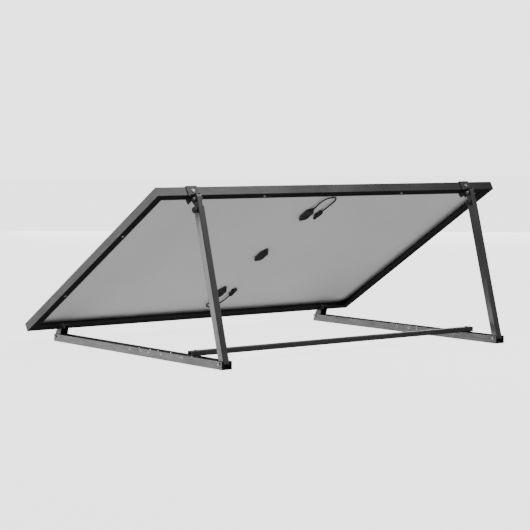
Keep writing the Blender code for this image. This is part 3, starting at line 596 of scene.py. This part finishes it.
def add_cells():
    """Half cells in six strings, their ribbons and the buses across the ends and the middle."""
    near, far = half_span()
    bodies = []
    for y in row_centres():
        for column in range(HALF_COLUMNS):
            x = near + CELL_SHORT / 2 + column * (CELL_SHORT + CELL_GAP_X)
            for side in (-1, 1):
                cut = side if column % 2 else -side
                bodies.append(slab(cell_outline(side * x, y, cut), CELL_BACK, CELL_BACK + CELL_THICK))
    cells = piece("half_cells", *merged(bodies), M["silicon"], "panel", module, "cells")
    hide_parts("cell_layer")
    low, high = CELL_BACK + CELL_THICK, CELL_BACK + CELL_THICK + RIBBON_THICK
    wires, buses = [], []
    for y in row_centres():
        for wire in range(WIRES):
            centre = y + (wire - (WIRES - 1) / 2) * CELL_LONG / WIRES
            edge = (centre - RIBBON_WIDTH / 2, centre + RIBBON_WIDTH / 2)
            for side in (-1, 1):
                ends = sorted((side * (near - INNER_TAIL), side * (far + OUTER_TAIL)))
                wires.append(slab(rectangle(*ends, *edge), low, high))
    outer = far + OUTER_TAIL
    across = (row_centres()[0] - CELL_LONG / 2, row_centres()[-1] + CELL_LONG / 2)
    for x in (-outer - BUS_WIDTH / 2, MIDDLE_BUS_X, outer + BUS_WIDTH / 2):
        buses.append(slab(rectangle(x - BUS_WIDTH / 2, x + BUS_WIDTH / 2, *across), low, high))
    piece("cell_ribbons", *merged(wires), M["ribbon"], "panel", module, "diode")
    piece("bus_ribbons", *merged(buses), M["ribbon"], "panel", module, "diode")


# ---------------------------------------------------------------- junction box trim

BOX_CUT_X, BOX_CUT_Y = 0.0090, 0.011
# The bead's loops: each one's margin beyond the box, and its height off the sheet
BEAD = ((0.0010, 0.0), (0.0007, 0.0006), (-0.0004, 0.0009), (-0.0004, 0.0001))
LID_THICK, LID_PANEL_RISE, LID_PANEL_SINK = 0.0025, 0.0007, 0.0004
LID_PANEL_FOOT, LID_PANEL_TOP = -0.0048, -0.0056
LID_RIBS, RIB_HALF_LENGTH, RIB_HALF_WIDTH = (-0.012, -0.004, 0.004, 0.012), 0.0080, 0.0008
RIB_TOP, RIB_FOOT = 0.0013, 0.0005
SNAPS, SNAP_HALF, SNAP_IN, SNAP_OUT = (-0.013, 0.013), 0.0035, 0.0002, 0.0011
SNAP_LOW, SNAP_HIGH, SNAP_BEVEL = 0.0006, 0.0075, 0.0005


def box_outline(y, grow):
    """The box from behind, with its corners cut, grown by a margin."""
    a, b = BOX_HALF_WIDTH + grow, BOX_LENGTH / 2 + grow
    cut_x, cut_y = a - BOX_CUT_X, b - BOX_CUT_Y
    return [(a, y - cut_y), (a, y + cut_y), (cut_x, y + b), (-cut_x, y + b), (-a, y + cut_y),
            (-a, y - cut_y), (-cut_x, y - b), (cut_x, y - b)]


def add_box_trim(name):
    """The bead of adhesive round the box, the raised panel of its lid and its snap latches."""
    y = LOW_EDGE + BOX_PLACES[name]
    sheet_side = SHEET_BACK - GAP
    loops = [[(*p, sheet_side - height) for p in box_outline(y, margin)] for margin, height in BEAD]
    piece(f"adhesive_bead_{name}", *ring_body(loops), M["bead"], "panel", module, "seal", 60)
    lid_top = sheet_side - BOX_DEPTH - GAP - LID_THICK
    foot = [(*p, lid_top + LID_PANEL_SINK) for p in box_outline(y, LID_PANEL_FOOT)]
    top = [(*p, lid_top - LID_PANEL_RISE) for p in box_outline(y, LID_PANEL_TOP)]
    bodies = [stacked([foot, top])]
    for offset in LID_RIBS:
        low, high = y + offset - RIB_HALF_WIDTH, y + offset + RIB_HALF_WIDTH
        rib = rectangle(-RIB_HALF_LENGTH, RIB_HALF_LENGTH, low, high)
        bodies.append(slab(rib, lid_top - RIB_TOP, lid_top - RIB_FOOT))
    piece(f"lid_panel_{name}", *merged(bodies), M["lid"], "panel", module, "box")
    latches = []
    for side in (-1, 1):
        for offset in SNAPS:
            a, b = sorted((side * (BOX_HALF_WIDTH - SNAP_IN), side * (BOX_HALF_WIDTH + SNAP_OUT)))
            edge = (y + offset - SNAP_HALF, y + offset + SNAP_HALF)
            latches.append(slab(rectangle(a, b, *edge), lid_top + SNAP_LOW, lid_top + SNAP_HIGH, SNAP_BEVEL))
    piece(f"lid_latches_{name}", *merged(latches), M["plastic"], "panel", module, "box")


# ---------------------------------------------------------------- fasteners

BOLT, HEX, HEAD_HEIGHT, NUT_HEIGHT = 0.0030, 0.0058, 0.0040, 0.0050
TURNED = 36
CHAMFER, CHAMFER_SHARE, HEX_SHARE = 0.0006, 0.86, 1.01
FLANGE_RADIUS, FLANGE_RIM, FLANGE_HEIGHT = 0.0070, 0.0068, 0.0008
DISH_DEPTH, DISH_SHARE = 0.0003, 0.62
THREAD_PITCH, THREAD_ROOT, TIP_HEIGHT, TIP_ROOT, TIP_END = 0.0010, 0.88, 0.0002, 0.86, 0.70
STUB, LONG_STUB = 0.003, 0.006
FRAME_BOLT_RISE, FRAME_BOLT_DEPTH, FLANGE_BOLT_IN = 0.0165, 0.008, 0.025
BOLT_TURNS = {"foot": 0.2, "front": 0.4, "top": 0.1, "frame": 0.3}
HOLE_RADIUS, HOLE_STEP, HOLE_RIM, HOLE_SIDES = 0.0035, 0.0040, 0.0052, 24
RIM_RISE, BARE_DEPTH = 0.0003, -0.0024


def hexagon(low, high, chamfer_low, chamfer_high):
    """Loops of a hexagon between two heights, with turned chamfers at its ends."""
    loops = []
    if chamfer_low:
        loops.append(round_loop(low, HEX * CHAMFER_SHARE, TURNED, HEX))
    loops.append(round_loop(low + (CHAMFER if chamfer_low else 0), HEX * HEX_SHARE, TURNED, HEX))
    loops.append(round_loop(high - (CHAMFER if chamfer_high else 0), HEX * HEX_SHARE, TURNED, HEX))
    if chamfer_high:
        loops.append(round_loop(high, HEX * CHAMFER_SHARE, TURNED, HEX))
    return loops


def thread(low, high):
    """Loops of a turned thread, as rings."""
    loops = []
    count = max(1, int((high - low) / THREAD_PITCH))
    for turn in range(count):
        start = low + turn * (high - low) / count
        loops.append(round_loop(start, BOLT * THREAD_ROOT, TURNED))
        loops.append(round_loop(start + THREAD_PITCH / 2, BOLT, TURNED))
    loops.append(round_loop(high - TIP_HEIGHT, BOLT * TIP_ROOT, TURNED))
    loops.append(round_loop(high, BOLT * TIP_END, TURNED))
    return loops


def add_bolt(name, body, place, inner, outer, stub):
    """A flanged hexagon bolt along Z: its head beyond outer and, if it has a stub of thread, its nut
    before inner and the stub past the nut."""
    loops = []
    if stub:
        end = thread(-inner + NUT_HEIGHT, -inner + NUT_HEIGHT + stub)
        loops += [[(x, y, -z) for x, y, z in loop] for loop in reversed(end)]
        loops += hexagon(inner - NUT_HEIGHT, inner - FLANGE_HEIGHT, True, False)
        loops += [round_loop(inner - FLANGE_HEIGHT, FLANGE_RIM, TURNED),
                  round_loop(inner, FLANGE_RADIUS, TURNED)]
    loops += [round_loop(inner, BOLT, TURNED), round_loop(outer, BOLT, TURNED)]
    loops += [round_loop(outer, FLANGE_RADIUS, TURNED),
              round_loop(outer + FLANGE_HEIGHT, FLANGE_RIM, TURNED)]
    loops += hexagon(outer + FLANGE_HEIGHT, outer + HEAD_HEIGHT, False, True)
    loops.append(round_loop(outer + HEAD_HEIGHT - DISH_DEPTH, HEX * DISH_SHARE, TURNED))
    made = piece(name.replace("bolt", "hex_bolt"), *stacked(loops), M["steel"], body, place, "steel", 30)
    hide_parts(name)


def add_fasteners():
    foot_y = joint_places["leg_swing_left"].y
    reach = RAIL_HALF + GAP
    cheek = CHEEK_OUT + GAP
    wall_out = HIGH_EDGE + GAP + PLATE_THICK + GAP
    under, over = BACK - GAP - PLATE_THICK - GAP, BACK + FLANGE_THICK + GAP
    for side, x in STAND_SIDES.items():
        foot = along((x, foot_y, pivot.z), "X", BOLT_TURNS["foot"])
        front = module @ along((x, 0, 0), "X", BOLT_TURNS["front"])
        top = module @ along((x, PIVOT_REACH, 0), "X", BOLT_TURNS["top"])
        frame_hole = module @ along((x, 0, BACK + FRAME_BOLT_RISE), "Y", BOLT_TURNS["frame"])
        flange = module @ along((x, LOW_EDGE + FLANGE_BOLT_IN, 0), "Z") @ Matrix.Rotation(pi, 4, "X")
        add_bolt(f"foot_bolt_{side}", "base", foot, -reach, reach, STUB)
        add_bolt(f"front_pivot_bolt_{side}", "base", front, -reach, reach, STUB)
        add_bolt(f"top_pivot_bolt_{side}", "panel", top, -cheek, cheek, STUB)
        add_bolt(f"frame_bolt_{side}", "panel", frame_hole, HIGH_EDGE - FRAME_BOLT_DEPTH, wall_out, 0)
        add_bolt(f"flange_bolt_{side}", "panel", flange, -over, -under, LONG_STUB)


def add_hole_edges():
    """The bare cut edges of the spare holes, in both walls of each rail."""
    for side, x in STAND_SIDES.items():
        rings = []
        for reach in FOOT_HOLES:
            for wall in (-1, 1):
                face, outer, inner = (wall * (RAIL_HALF + out) for out in (0, RIM_RISE, BARE_DEPTH))
                place = along((x, pivot.y + reach, pivot.z), "X")
                profile = ((outer, HOLE_RIM), (outer, HOLE_RADIUS), (inner, HOLE_RADIUS),
                           (inner, HOLE_STEP), (face, HOLE_STEP), (face, HOLE_RIM))
                loops = [[place @ Vector(p) for p in round_loop(h, r, HOLE_SIDES)] for h, r in profile]
                rings.append(ring_body(loops))
        piece(f"hole_edges_{side}", *merged(rings), M["cut"], "base", None, "stand")


# ---------------------------------------------------------------- CAD nodes that stay

CARRIED = {
    "frame_x": ("frame_low_side", "frame_high_side"),
    "frame_y_painted_light": ("frame_end_left", "frame_end_right"),
    "rail": ("base_rail_left", "base_rail_right"),
    "brace": ("cross_brace",),
    "leg": ("leg_outer_left", "leg_outer_right"),
    "inner_leg": ("leg_inner_left", "leg_inner_right"),
    "bracket": ("top_bracket_left", "top_bracket_right"),
    "front_bracket": ("front_bracket_left", "front_bracket_right"),
    "key": ("corner_key_low_left", "corner_key_low_right", "corner_key_high_left", "corner_key_high_right"),
    "sheet": ("backsheet",),
    "seal": ("edge_seal",),
    "glass": ("front_glass",),
    "plastic": ("junction_box_upper", "junction_box_middle", "junction_box_lower", "connector_clip_upper",
                "connector_clip_lower", "leg_knob_left", "leg_knob_right"),
    "end_plug": ("brace_plug_left", "brace_plug_right"),
    "lid": ("junction_lid_upper", "junction_lid_middle", "junction_lid_lower"),
    "diode": ("bypass_diode_upper", "bypass_diode_middle", "bypass_diode_lower"),
    "steel": ("foot_sleeve_left", "foot_sleeve_right", "brace_bolt_left", "brace_bolt_right"),
}
BEVELLED = ("frame_x", "frame_y_painted_light", "rail", "brace", "leg", "inner_leg", "bracket", "front_bracket")
EDGE_WIDTH, EDGE_SEGMENTS, EDGE_ANGLE = 0.00035, 2, radians(40)


def dress_cad():
    """Gives the CAD nodes their materials, and the metal ones a fine rounding of their edges."""
    for key, names in CARRIED.items():
        for name in names:
            node = frame["nodes"][name]
            if node.material_slots:
                for slot in node.material_slots:
                    slot.material = M[key]
            else:
                node.data.materials.append(M[key])
            if key in BEVELLED:
                edge = node.modifiers.new("edge", "BEVEL")
                edge.width = EDGE_WIDTH
                edge.segments = EDGE_SEGMENTS
                edge.limit_method = "ANGLE"
                edge.angle_limit = EDGE_ANGLE
                edge.harden_normals = True


add_camera()
for lead_name, lead_side in LEAD_SIDES.items():
    add_lead(lead_name, lead_side)
add_studio()
add_cells()
for box_name in BOX_PLACES:
    add_box_trim(box_name)
add_fasteners()
add_hole_edges()
dress_cad()
